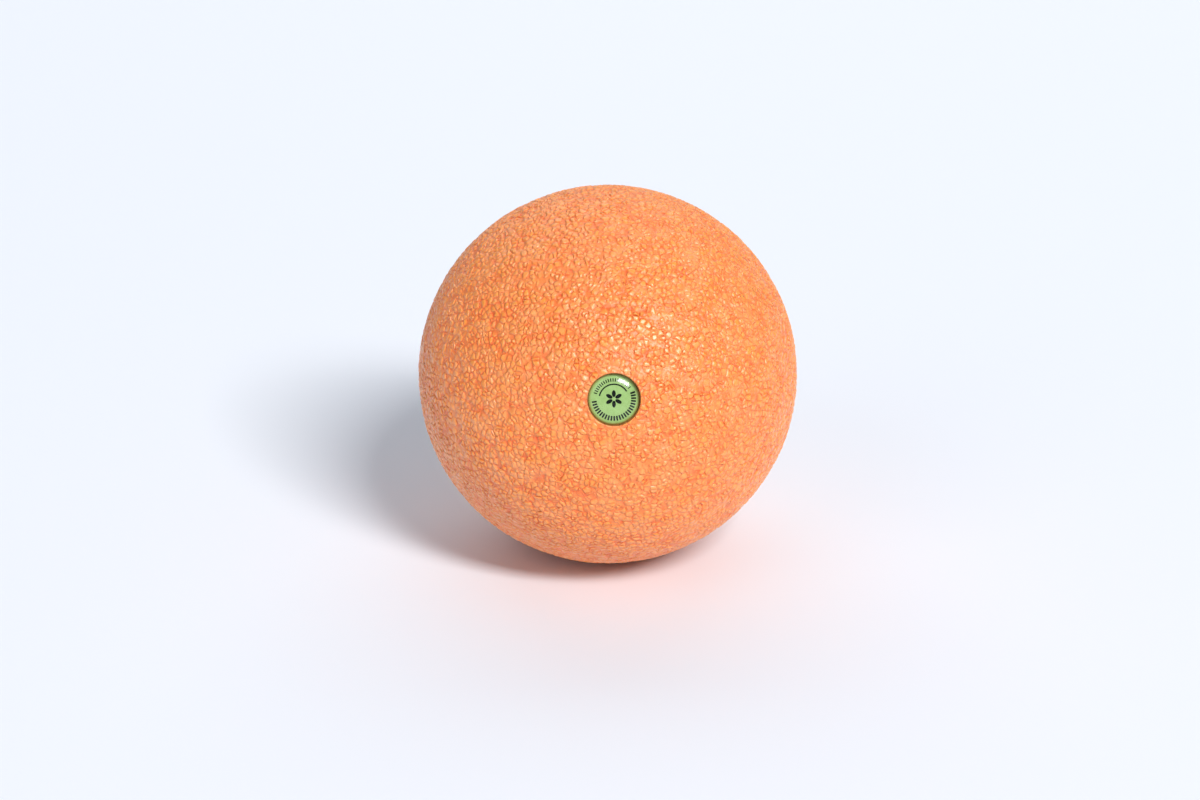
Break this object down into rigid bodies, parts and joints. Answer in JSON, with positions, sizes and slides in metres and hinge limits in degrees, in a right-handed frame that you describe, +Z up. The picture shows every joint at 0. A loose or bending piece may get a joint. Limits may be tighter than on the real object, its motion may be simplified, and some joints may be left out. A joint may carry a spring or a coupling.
{
  "type": "massage ball",
  "caption": "Firm round foam massage ball with a bead-textured surface and a small domed badge set flush in a shallow round recess.",
  "frame": {"origin": "centre of the ball", "axes": "+Z up, from the point where the ball touches the surface it lies on through its centre; -Y to the front, the side that the badge faces; the badge's axis lies in the YZ plane, 15.4 degrees above -Y"},
  "size_m": [0.12, 0.12, 0.12],
  "materials": {
    "foam": "satin",
    "adhesive": "matte",
    "film": "satin",
    "resin": "polished"
  },
  "bodies": {
    "root": {"foam_ball": "foam", "badge_adhesive": "adhesive", "badge_film": "film", "badge_lens": "resin"}
  },
  "joints": []
}
